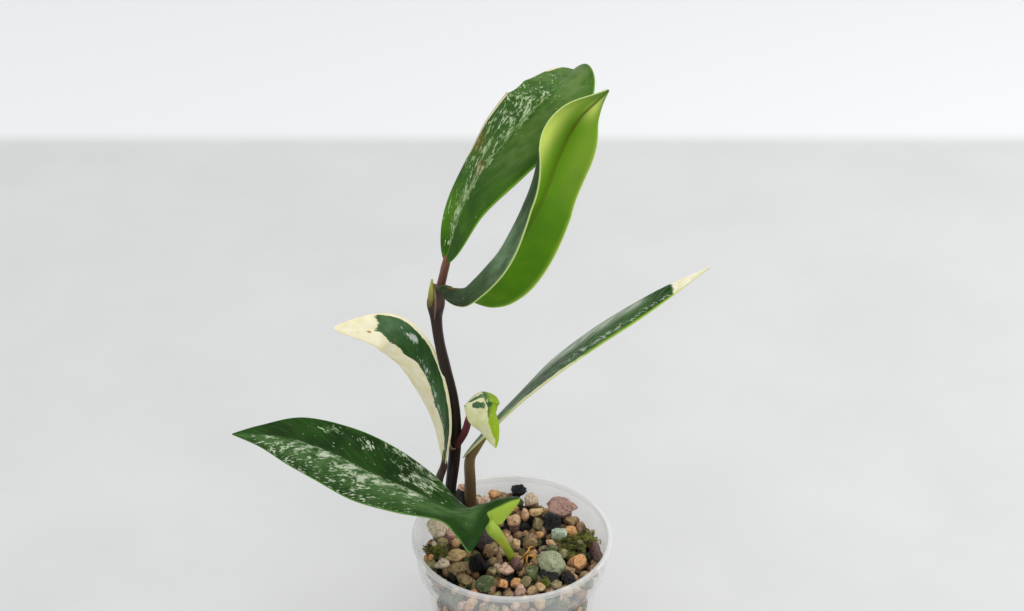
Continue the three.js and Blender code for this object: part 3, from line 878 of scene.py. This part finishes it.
def marks_cream(t, s):
    inner = np.interp(t, *np.transpose(CREAM_BORDER))
    cream = np.maximum((inner - s) * 0.8, (s - 0.87) * 1.5)
    cream = np.maximum(cream, (t - 0.83) * 4)
    cream = cream - 0.9 * hill(0.44, 0.02, t) * smooth(-0.88, -0.98, s)
    patch = smooth(0.45, 0.75, hill(0.665, 0.035, t) * hill(0.55, 0.16, s))
    fleck = 0.9 * hill(0.22, 0.12, s) * smooth(0.65, 0.5, t) * smooth(0.1, 0.2, t)
    fleck = fleck + 0.7 * hill(0.66, 0.06, t) * hill(0.5, 0.25, s)
    # Silver bloom, partly painted sheen.
    bloom_and_sheen = 0.75 * hill(0.78, 0.08, t) + 0.5 * hill(0.2, 0.5, s) * hill(0.35, 0.2, t)
    speck = smooth(0.3, 0.8, hill(0.86, 0.012, t) * hill(-0.21, 0.08, s))
    speck = speck + 0.6 * smooth(0.3, 0.8, hill(0.72, 0.01, t) * hill(-0.1, 0.06, s))
    return dict(fleck=fleck, bloom_and_sheen=bloom_and_sheen, cream=cream, patch=patch, speck=speck)


def marks_right(t, s):
    cream = (s - 0.86) * 1.2 - 0.6 * smooth(0.5, 0.75, t)
    cream = np.maximum(cream, (t - 0.88) * 6)
    fleck = 0.7 * hill(0.5, 0.3, s) * smooth(0.4, 0.6, t)
    # Silver bloom along the upper side, partly painted sheen.
    bloom_and_sheen = hill(-0.65, 0.35, s) * smooth(0.28, 0.45, t) * smooth(0.83, 0.74, t)
    lime = 0.9 * smooth(0.45, 0.2, t) * (smooth(-0.6, -1.0, s) + smooth(0.2, 0.7, s))
    lime = np.minimum(lime + 0.8 * smooth(0.8, 0.9, s), 1)
    veined = smooth(0.3, 0.5, t)
    return dict(fleck=fleck, bloom_and_sheen=bloom_and_sheen, cream=cream, lime=lime, veined=veined)


# Dark patches of the small blade, as spots takes them
SMALL_PATCHES = [
    (1, 0.16, 0.03, 0.35, 0.3), (1, 0.19, 0.03, 0.6, 0.2), (1, 0.11, 0.025, 0.05, 0.15),
    (1, 0.3, 0.04, 0.36, 0.16), (1, 0.32, 0.03, 0.1, 0.08), (1, 0.31, 0.025, -0.3, 0.1),
]


def marks_small(t, s):
    dark = spots(SMALL_PATCHES, t, s)
    cream = 0.15 * smooth(-0.15, 0.2, s) * smooth(0.95, 0.75, t) - 0.6 * dark
    cream = cream - 0.25 * smooth(0.0, -0.3, s)
    lime = 0.7 * smooth(0.4, -0.6, s) + 1.1 * smooth(0.35, 0.8, t) - 1.5 * dark
    return dict(fleck=0.3, lime=np.minimum(lime, 1), cream=cream)


SPECK_TONE = "#9a5628"

# What the leaves' skins share, where a leaf's own tones don't say otherwise
SHARED_TONES = dict(
    rib="#3c5c28", gloss=0.35, glow=0.06, ragged=0.3,
    # The back glow tone is painted light: the lower face's colour where light shines through.
    back="#5c7c18", back_light="#6e8e20", back_painted_glow="#8fa83e", back_rib="#7a8a4a",
)

# Each leaf: its marks, its slot and its own tones. The silver bloom tone partly stands for painted
# sheen, and the back glow tone is painted light through the lower face.
LEAF_LOOKS = {
    "leaf_lower_left": (marks_lower_left, "green_leaf", dict(
        deep="#143004", mid="#1e4208", bloom_and_sheen="#4c6e3a", lime="#93ad3a", fleck="#c4d0b2",
        cream="#e9e2bd", butter="#dcd49a", line="#5f8a3c",
    )),
    "leaf_top": (marks_top, "green_leaf", dict(
        deep="#244e00", mid="#346200", bloom_and_sheen="#5e7a3a", lime="#5e9600", fleck="#b8ca9c",
        cream="#ddd3b4", butter="#e0c8a8", rib="#4c6e28", line="#7fa040", gloss=0.38,
        back_rib="#7a6a3a",
    )),
    "leaf_curled": (marks_curled, "lime_leaf", dict(
        deep="#162a06", mid="#243e10", bloom_and_sheen="#688260", lime="#5f9a1a", fleck="#a9bd8c",
        cream="#ddd3a8", butter="#e3c7a4", rib="#4c6a3c", line="#c8d88c", gloss=0.5, glow=0.25,
        # The back glow tone is painted light through the lower face.
        back="#467600", back_light="#588600", back_painted_glow="#ccde64", back_rib="#472a08",
    )),
    "leaf_cream": (marks_cream, "cream_leaf", dict(
        deep="#1a3c0c", mid="#28501c", bloom_and_sheen="#567850", lime="#5f9a1a", fleck="#c4d0c0",
        cream="#f6eed0", butter="#ece2b0", rib="#3c5c30", line="#dcdaa8",
    )),
    "leaf_right": (marks_right, "green_leaf", dict(
        deep="#1c4008", mid="#2c5814", bloom_and_sheen="#a8b49e", lime="#6ca012", fleck="#b4c0a2",
        cream="#faf4e0", butter="#ece4a8", line="#ccd27c",
        back="#4c6c18", back_light="#5e7e20", back_rib="#7d6a3c",
    )),
    "leaf_small": (marks_small, "pale_leaf", dict(
        deep="#2c4c30", mid="#4c6c48", bloom_and_sheen="#6a8560", lime="#8caa14", fleck="#c0cc8c",
        cream="#ccce94", butter="#dcdcb4", rib="#8fa850", line="#a4b84a", gloss=0.4, ragged=0.8,
        back="#7c9c30", back_light="#8eae3a",
    )),
}


def make_leaf(name):
    marks, slot, tones = LEAF_LOOKS[name]
    rings, t, s, values = blade_rings(LEAVES[name])
    given = {mark: 0.0 * t + value for mark, value in (PLAIN_MARKS | marks(t, s)).items()}
    given["rib"] = given["rib"] * values["rib"]
    values.update(given, line=0.85 * smooth(0.955, 0.985, np.abs(s)))
    bunch = Bunch()
    bunch.add(rings, **values)
    finish = leaf_finish(name + "_skin", SHARED_TONES | tones)
    bunch.piece(name + "_blade", finish, slot, name)


# Stalks


def stalk_finish(name, foot, head, blush, blush_at, gloss=0.38):
    """Smooth bark or stalk skin: foot colour to head colour, with a blush at one height."""
    f = Finish(name, specular_ior_level=0.3)
    run = f.own("run")
    streak = f.noise(f.stretched(f.own("turn", "Vector"), (1.6, 1.6, 3.0)), 1.5, 4.0)
    share = f.calc("ADD", run, f.calc("MULTIPLY", f.calc("SUBTRACT", streak, 0.5), 0.35))
    skin = f.blend(f.step(share, 0.05, 0.95), foot, head)
    away = f.calc("ABSOLUTE", f.calc("SUBTRACT", share, blush_at))
    skin = f.blend(f.step(away, 0.1, 0.02, 0.0, 0.8), skin, blush)
    specks = f.noise(f.place(), 900, 3.0, 0.7)
    skin = f.blend(f.step(specks, 0.55, 0.8, 0.0, 0.35), skin, head)
    f.colour(skin)
    f.roughness(f.step(specks, 0.3, 0.7, gloss, gloss + 0.15))
    f.bump(f.calc("ADD", streak, f.calc("MULTIPLY", specks, 0.5)), 0.0003, 0.5)
    return f.material


# Each stalk: its node, its slot, the tones of its foot, head and blush, and where the blush is
STALK_LOOKS = {
    "main_stem": ("main_stem", "dark_stem", "#100906", "#2a1a14", "#4a3228", 0.97),
    "stem_bud": ("stem_bud", "bud_green", "#6a5a24", "#a9ad4e", "#8a8a3c", 0.5),
    "lower_left_petiole": ("leaf_lower_left", "lime_leaf", "#7e8a20", "#98b23c", "#a4a83c", 0.6),
    "top_petiole": ("leaf_top", "dark_stem", "#6a4034", "#7d4f3e", "#5a3830", 0.1),
    "curled_petiole": ("leaf_curled", "dark_stem", "#5a4034", "#4f5a3a", "#5a4038", 0.3),
    "cream_petiole": ("leaf_cream", "dark_stem", "#2a1a15", "#44332a", "#8a8a5a", 0.95),
    "right_petiole": ("leaf_right", "dark_stem", "#3f2f22", "#7d6a42", "#5a4a2e", 0.4),
    "small_petiole": ("leaf_small", "dark_stem", "#4a1c24", "#7c3444", "#8a4450", 0.8),
}


def make_stalk(name):
    node, slot, foot, head, blush, blush_at = STALK_LOOKS[name]
    rings, run, turn = stalk_rings(STALKS[name], ridges=0.012)
    bunch = Bunch()
    bunch.add(rings, run=run, turn=turn)
    made = name + "_stalk"
    bunch.piece(made, stalk_finish(made + "_skin", foot, head, blush, blush_at), slot, node)


def make_stem_details():
    """The pale ridge down the upper node and the small hooked scar strand lower down."""
    bunch = Bunch()
    ridge = dict(
        path=[(-33.2, 7.2, 209), (-32.6, 6.6, 203), (-32.6, 7.0, 197), (-33.2, 8.4, 190)],
        radius=[0.5, 0.55, 0.5, 0.2],
    )
    hook = dict(
        path=[(-28, 15.6, 122), (-27.6, 15.0, 118.5), (-26.6, 14.9, 116.6), (-25, 15.1, 116.6)],
        radius=[0.3, 0.45, 0.5, 0.3],
    )
    for strand in (ridge, hook):
        rings, run, turn = stalk_rings(strand, 12, 30)
        bunch.add(rings, run=run, turn=turn)
    skin = stalk_finish("ridge_skin", "#7e6a54", "#6e5446", "#8a8064", 0.3)
    bunch.piece("stem_ridges", skin, "dark_stem")


# Pot

# The inner wall, from the floor to the lip, as (radius, height)
INNER_WALL = [
    (BASE_RADIUS - WALL, FOOT_HEIGHT + WALL), (BODY_RADIUS - WALL, SHOULDER_FOOT + INNER_LIFT),
    (COLLAR_RADIUS - WALL, COLLAR_FOOT + INNER_LIFT), (RIM_RADIUS - 2 * WALL, LIP_FOOT),
]


def pot_finish():
    """Thin clear plastic, a little milky, cloudier where it is seen edge-on and at the lip."""
    f = Finish("clear_plastic", roughness=0.22, specular_ior_level=0.5)
    cloud = f.noise(f.place(), 40, 2.0)
    f.colour(f.blend(f.step(cloud, 0.3, 0.7), "#f4f4f4", "#f0efec"))
    edge = f.node("ShaderNodeLayerWeight", {"Blend": 0.35}).outputs["Facing"]
    haze = f.step(edge, 0.4, 1.0, 0.0, 0.28)
    height = f.axis("Z")
    collar = f.step(height, SHOULDER_FOOT * MM, (COLLAR_FOOT + 1) * MM, 0.06, 0.22)
    lip = f.step(height, (LIP_FOOT - 0.6) * MM, (LIP_FOOT + 0.1) * MM, 0.0, 0.2)
    milk = f.calc("ADD", collar, f.step(cloud, 0.35, 0.7, -0.04, 0.04))
    f.feed(f.calc("ADD", f.calc("ADD", haze, lip), milk), f.skin.inputs["Alpha"])
    streak = f.noise(f.stretched(f.place(), (260, 260, 12)), 1.0, 3.0)
    f.bump(streak, 0.0002, 0.15)
    return f.material


def make_pot():
    """A tapered cup with a stepped collar and a rolled lip, with drain holes cut in its floor."""
    profile = [
        (AXIS_GAP, 0), (BASE_RADIUS - 1, 0), (BASE_RADIUS, FOOT_HEIGHT),
        (BODY_RADIUS, SHOULDER_FOOT), (COLLAR_RADIUS, COLLAR_FOOT),
        (RIM_RADIUS - WALL, LIP_FOOT), (RIM_RADIUS, LIP_FOOT + LIP_BEND),
        (RIM_RADIUS, POT_HEIGHT), (RIM_RADIUS - LIP_WIDTH, POT_HEIGHT),
        *INNER_WALL[::-1], (AXIS_GAP, FOOT_HEIGHT + WALL),
    ]
    bunch = Bunch()
    bunch.add(lathe_rings(rounded(profile, POT_CORNER), POT_SIDES))
    pot = bunch.piece("clear_pot", pot_finish(), "clear_pot", "pot")
    drains = Bunch()
    column = lathe_rings([(DRAIN_RADIUS, -2), (DRAIN_RADIUS, 6)], 32)
    for x, y in DRAIN_CIRCLE * circle(DRAIN_COUNT):
        drains.add(column + (x, y, 0))
    cutter = placed("drain_cutter", drains.mesh("drain_cutter"))
    cut = pot.modifiers.new("drains", "BOOLEAN")
    cut.object = cutter
    cut.operation = "DIFFERENCE"
    shape = bpy.data.meshes.new_from_object(pot.evaluated_get(bpy.context.evaluated_depsgraph_get()))
    pot.modifiers.clear()
    pot.data = shape
    bpy.data.objects.remove(cutter)


# Grit


def grit_level(x, y):
    """The height of the grit: a slope up to the back and a mound round the stems' backs."""
    far = (x - MOUND_PLACE[0]) ** 2 + (y - MOUND_PLACE[1]) ** 2
    mound = MOUND_HEIGHT * np.exp(-far / (2 * MOUND_SPREAD**2))
    return GRIT_LEVEL + GRIT_SLOPE * np.maximum(y, 0) + mound


def wall_radius(z):
    """The radius of the pot's inner wall at a height, on straight lines between its corners."""
    radii, heights = np.transpose(INNER_WALL)
    return float(np.interp(z, heights, radii))


def stone_finish(name, pore_scale, pore_depth, speckle, gloss):
    """Stone skin in the stone's own colour, which carries a painted shade towards its underside,
    with pores painted dark as shade in the pits, speckles and a damp mottle.
    """
    f = Finish(name, specular_ior_level=0.25)
    own = f.own("tint", "Vector")
    place = f.place()
    mottle = f.noise(place, 420, 5.0, 0.65)
    fine = f.noise(place, 1300, 4.0, 0.7)
    light = f.blend(0.5, own, speckle)
    dark = f.blend(0.6, own, "#2c2018")
    skin = f.blend(f.step(mottle, 0.5, 0.68, 0.0, 0.8), own, light)
    skin = f.blend(f.step(mottle, 0.46, 0.32, 0.0, 0.55), skin, dark)
    skin = f.blend(f.step(fine, 0.46, 0.34, 0.0, 0.45), skin, dark)
    # Pores painted dark: painted shade inside the pits.
    pores = f.cells(place, pore_scale)
    skin = f.blend(f.step(pores, 0.25, 0.08, 0.0, 0.6), skin, "#20160f")
    f.colour(skin)
    f.roughness(f.step(mottle, 0.3, 0.7, gloss, gloss + 0.2))
    height = f.calc("ADD", f.step(pores, 0.05, 0.35), f.calc("ADD", fine, mottle))
    f.bump(height, pore_depth)
    return f.material


def make_stones():
    """The listed stones, then rings of small ones over the crown and rows against the wall."""
    draw = np.random.default_rng(STONE_SEED)
    bunches = {}

    def lay(centre, sizes, kind, grid):
        piece, colour, rough, chips = STONE_KINDS[kind]
        rings = stone_rings(centre, sizes, draw, chips, rough, grid)
        light = draw.uniform(1.05, 1.4)
        tint = np.array(tone(colour)[:3]) * light * draw.uniform(0.93, 1.07, 3)
        tint = tint * min(1, BRIGHTEST / tint.max())
        # Painted shade: each stone's colour is darkened towards its underside.
        up = (rings[..., 2] - centre[2]) / sizes[2]
        shade = 0.25 + 0.75 * smooth(-0.9, 0.1, up)
        bunches.setdefault(piece, Bunch()).add(rings, tint=shade[..., None] * tint)

    for x, y, z, half_width, half_height, kind in STONES:
        sizes = np.array([half_width, 0.5 * (half_width + half_height), half_height])
        lay((x, y, z + LISTED_LIFT), LISTED_SCALE * sizes, kind, LISTED_GRID)
    for ring in np.arange(0, GRIT_EDGE - 2.5, CROWN_SPACING):
        count = max(1, round(2 * math.pi * ring / CROWN_SPACING))
        for k in range(count):
            angle = 2 * math.pi * (k + draw.uniform(0, 0.6)) / count
            reach = min(ring + draw.uniform(-1, 1), GRIT_EDGE - 3.4)
            x, y = reach * math.cos(angle), reach * math.sin(angle)
            z = grit_level(x, y) - draw.uniform(1.5, 4.0)
            sizes = draw.uniform(2.6, 3.9) * draw.uniform(0.8, 1.1, 3)
            lay((x, y, z), sizes, draw.choice(FILL_KINDS), CROWN_GRID)
    for z in np.arange(6, GRIT_LEVEL - 2, WALL_ROW):
        edge = wall_radius(z)
        count = round(2 * math.pi * edge / WALL_SPACING)
        for k in range(count):
            angle = 2 * math.pi * (k + draw.uniform(0, 0.7)) / count
            size = draw.uniform(2.5, 3.6)
            reach = edge - size * 1.05 - draw.uniform(0.1, 0.5)
            centre = (reach * math.cos(angle), reach * math.sin(angle), z + draw.uniform(-1.2, 1.2))
            lay(centre, size * draw.uniform(0.85, 1.0, 3), draw.choice(FILL_KINDS), WALL_GRID)
    finishes = {
        "pumice_stones": stone_finish("pumice", 900, 0.001, "#e2c49c", 0.75),
        "lava_stones": stone_finish("lava", 700, 0.0014, "#6d6462", 0.45),
        "green_stones": stone_finish("zeolite", 800, 0.0007, "#b9c0a0", 0.6),
    }
    for piece, bunch in bunches.items():
        bunch.piece(piece, finishes[piece], "stone_grit", "grit")


def bed_finish():
    """Dark fines, near black as painted shade in the gaps between the stones, green with algae below
    the collar.
    """
    f = Finish("dark_fines_and_shade", roughness=0.9)
    grains = f.noise(f.place(), 700, 4.0, 0.7)
    # Painted shade: the fines are near black to stand for the shade between the stones.
    soil_and_painted_shade = f.blend(f.step(grains, 0.4, 0.7), "#120d08", "#3a2c20")
    algae = f.blend(f.step(grains, 0.3, 0.7), "#3a3e20", "#6a6c48")
    above, below = (ALGAE_TOP + 0.5) * MM, (ALGAE_TOP - 0.5) * MM
    f.colour(f.blend(f.step(f.axis("Z"), above, below), soil_and_painted_shade, algae))
    f.bump(grains, 0.0008, 0.8)
    return f.material


def make_bed():
    """The dark fines between the stones, whose near black stands for the shade in the gaps: a
    tapered body whose top follows the grit's level.
    """
    plan = circle(64)
    rings = []
    for z in np.linspace(FOOT_HEIGHT + WALL + 0.5, GRIT_LEVEL - 6, 12):
        flat = (wall_radius(z) - BED_GAP) * plan
        rings.append(np.column_stack([flat, np.full(len(plan), z)]))
    for share in np.linspace(0.98, 0.02, 24):
        flat = (GRIT_EDGE - 4) * share * plan
        rings.append(np.column_stack([flat, grit_level(flat[:, 0], flat[:, 1]) - BED_DEPTH]))
    bunch = Bunch()
    bunch.add(np.array(rings))
    bunch.piece("grit_fines", bed_finish(), "stone_grit", "grit")


def moss_finish():
    """Moss in two greens, with a little light let through it."""
    f = Finish("moss", roughness=0.7, subsurface_weight=0.1, subsurface_scale=0.001)
    patch = f.noise(f.place(), 260, 3.0)
    f.colour(f.blend(f.step(patch, 0.35, 0.65), "#33401a", "#808834"))
    return f.material


# Where moss grows: place, spread and number of shoots
MOSS_PATCHES = [
    (31, 4, 72.5, 5.5, 80), (25, 3, 72, 5, 50), (36, 4, 73, 3, 40), (27, -5, 71.5, 3.5, 36),
    (-36, 1, 70.5, 3, 50), (-31, 1, 70, 3.5, 30), (16, -22, 70.5, 3, 30), (19, -3, 70.5, 3, 20),
    (6, -20, 70, 2.5, 14), (34, 9, 73, 3, 34), (-22, -22, 70, 3, 16), (-12, -24, 70, 4, 18),
]


def make_moss():
    """Small moss shoots, each a spray of narrow leaflets that lean out from its foot."""
    draw = np.random.default_rng(MOSS_SEED)
    bunch = Bunch()
    for x, y, z, spread, shoots in MOSS_PATCHES:
        for _ in range(shoots):
            foot = np.array([x, y, z]) + draw.normal(0, 1, 3) * (spread / 2, spread / 2, 0.5)
            reach = math.hypot(foot[0], foot[1])
            foot[:2] *= min(1, (GRIT_EDGE - 1.5) / reach)
            for _ in range(LEAFLETS):
                lean = unit(draw.normal(size=3) + (0, 0, 0.9))
                side = unit(np.cross(lean, draw.normal(size=3)))
                length = draw.uniform(1.0, 2.0)
                rings = []
                for share, width in ((0, 0.14), (0.45, 0.26), (1, 0.03)):
                    centre = foot + lean * length * share + (0, 0, -0.25 * share**2)
                    up = np.cross(side, lean)
                    corners = [side, 0.4 * up, -side, -0.4 * up]
                    rings.append([centre + width * corner for corner in corners])
                bunch.add(np.array(rings))
    bunch.piece("moss_shoots", moss_finish(), "stone_grit")


ROOTS = [
    [(5, -4, 70), (7, -4, 72.5), (8, -1, 73.2), (9.5, 1, 72)],
    [(6, -8, 70), (6.5, -7, 72.5), (8.5, -6, 73), (11, -6, 72.5), (13, -7, 71)],
    [(7, -10, 69.5), (6.5, -9.5, 72), (7, -7.5, 73.5), (9, -7.5, 73.5), (12, -8.5, 71.5)],
    [(4, -6, 70), (5.5, -5.5, 72.5), (7, -3.5, 73), (7.5, -2, 73.5), (6.5, 0.5, 72)],
]
ROOT_RADII = [0.3, 0.38, 0.34, 0.2]


def make_roots():
    """Thin orange-brown roots that loop out of the surface by the front petiole."""
    bunch = Bunch()
    for path in ROOTS:
        root = dict(path=path, radius=ROOT_RADII)
        rings, run, turn = stalk_rings(root, 10, 40, 0.05)
        bunch.add(rings, run=run, turn=turn)
    skin = stalk_finish("root_skin", "#a8772c", "#d3a24a", "#8a5a20", 0.1, 0.5)
    bunch.piece("surface_roots", skin, "bud_green")


# Camera, floor and lights


def make_camera():
    data = bpy.data.cameras.new("camera")
    data.lens = CAMERA_LENS
    data.sensor_width = CAMERA_SENSOR
    camera = placed("camera", data)
    camera.location = (0, -CAMERA_BACK, CAMERA_HEIGHT)
    camera.rotation_euler = (math.radians(90 - CAMERA_PITCH), 0, 0)
    bpy.context.scene.camera = camera


def make_floor():
    """A pale table that turns into a paler backdrop behind the plant."""
    f = Finish("pale_floor", roughness=0.7, specular_ior_level=0.25)
    grain = f.noise(f.place(), 12, 3.0)
    table = f.blend(f.step(grain, 0.3, 0.7), "#d0d0cf", "#d4d4d3")
    backdrop = f.step(f.axis("Y"), BACKDROP_AT - 0.01, BACKDROP_AT + 0.01)
    f.colour(f.blend(backdrop, table, "#eaeaea"))
    corners = [(-1, -1, 0), (1, -1, 0), (1, 1, 0), (-1, 1, 0)]
    mesh = bpy.data.meshes.new("floor")
    mesh.from_pydata(FLOOR_HALF * np.array(corners, float), [], [(0, 1, 2, 3)])
    mesh.materials.append(f.material)
    placed("floor", mesh)


def make_light(name, place, aim, size, power, warmth=(1, 1, 1)):
    """A soft round lamp at place that faces aim."""
    data = bpy.data.lights.new(name, "AREA")
    data.shape = "DISK"
    data.size = size
    data.energy = power
    data.color = warmth
    light = placed(name, data)
    away = np.array(aim, float) - np.array(place, float)
    light.location = place
    turn = math.atan2(away[0], -away[1])
    light.rotation_euler = (math.acos(-away[2] / np.linalg.norm(away)), 0, turn + math.pi)


def make_lights():
    world = bpy.data.worlds.new("studio")
    world.use_nodes = True
    sky = world.node_tree.nodes["Background"]
    sky.inputs["Color"].default_value = (0.96, 0.98, 1.0, 1.0)
    sky.inputs["Strength"].default_value = 0.6
    bpy.context.scene.world = world
    make_light("key_right", (0.9, 0.35, 1.1), (0, 0, 0.12), 0.8, 8)
    make_light("window_left", (-1.1, 0.6, 0.9), (0, 0, 0.15), 0.9, 3, (0.97, 0.99, 1.0))
    make_light("top_soft", (0, -0.2, 1.6), (0, 0, 0.1), 1.2, 5)
    make_light("front_fill", (0.3, -1.3, 0.7), (0, 0, 0.1), 1.0, 5)


bpy.context.scene.view_settings.view_transform = "Standard"
make_camera()
make_floor()
make_lights()
make_pot()
make_bed()
make_stones()
make_moss()
make_roots()
for leaf_name in LEAVES:
    make_leaf(leaf_name)
for stalk_name in STALKS:
    make_stalk(stalk_name)
make_stem_details()
